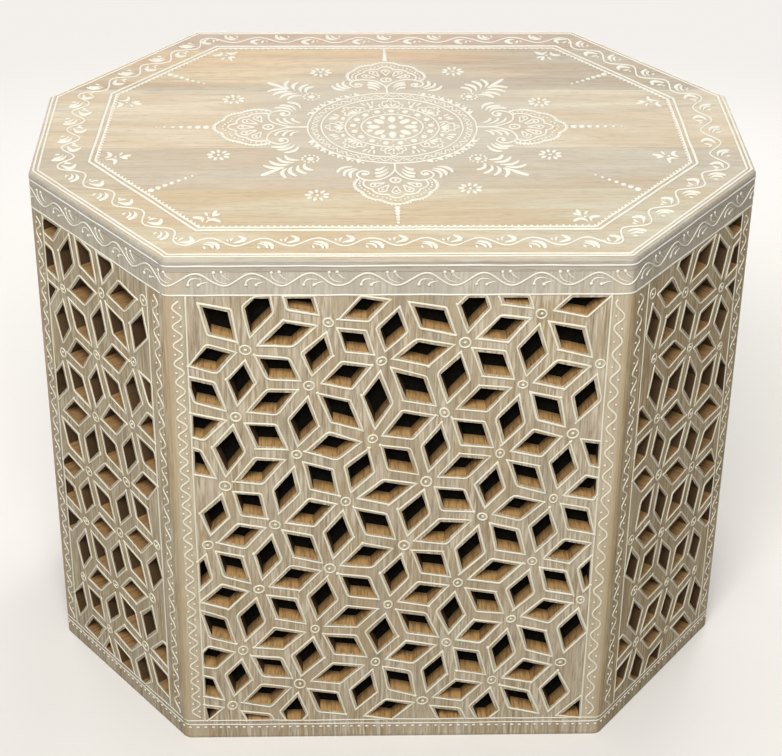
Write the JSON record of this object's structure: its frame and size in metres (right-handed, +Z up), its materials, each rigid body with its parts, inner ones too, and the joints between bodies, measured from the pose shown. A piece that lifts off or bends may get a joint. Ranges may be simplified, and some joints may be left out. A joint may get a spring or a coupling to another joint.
{
  "type": "openwork side table",
  "caption": "Octagonal side table with pierced rhombic lattice boards mitred at the corners and a planked top screwed down to inner cleats; hollow inside and open below.",
  "frame": {"origin": "on the floor, under the middle of the top", "axes": "+X along the long side, +Y from the front board to the back board, +Z up"},
  "size_m": [0.61, 0.47, 0.481],
  "materials": {
    "washed_wood": "whitewashed mango wood, sanded, satin",
    "raw_wood": "bare sawn wood",
    "black_lining": "thin black board, matt",
    "screw_steel": "zinc plated",
    "cream_paint": "raised cream acrylic paint, piped on the wood, matt"
  },
  "bodies": {
    "root": {"top_plank_1": "washed_wood", "top_plank_2": "washed_wood", "top_plank_3": "washed_wood", "top_plank_4": "washed_wood", "top_plank_5": "washed_wood", "board_front": "washed_wood", "board_front_right": "washed_wood", "board_right": "washed_wood", "board_back_right": "washed_wood", "board_back": "washed_wood", "board_back_left": "washed_wood", "board_left": "washed_wood", "board_front_left": "washed_wood", "block_front_left_front": "raw_wood", "block_front_front_right": "raw_wood", "block_front_right_right": "raw_wood", "block_right_back_right": "raw_wood", "block_back_right_back": "raw_wood", "block_back_back_left": "raw_wood", "block_back_left_left": "raw_wood", "block_left_front_left": "raw_wood", "lining_front": "black_lining", "lining_front_right": "black_lining", "lining_right": "black_lining", "lining_back_right": "black_lining", "lining_back": "black_lining", "lining_back_left": "black_lining", "lining_left": "black_lining", "lining_front_left": "black_lining", "cleat_front": "raw_wood", "cleat_front_right": "raw_wood", "cleat_right": "raw_wood", "cleat_back_right": "raw_wood", "cleat_back": "raw_wood", "cleat_back_left": "raw_wood", "cleat_left": "raw_wood", "cleat_front_left": "raw_wood", "screw_front_1": "screw_steel", "screw_front_2": "screw_steel", "screw_front_right_1": "screw_steel", "screw_right_1": "screw_steel", "screw_right_2": "screw_steel", "screw_back_right_1": "screw_steel", "screw_back_1": "screw_steel", "screw_back_2": "screw_steel", "screw_back_left_1": "screw_steel", "screw_left_1": "screw_steel", "screw_left_2": "screw_steel", "screw_front_left_1": "screw_steel"}
  },
  "joints": []
}
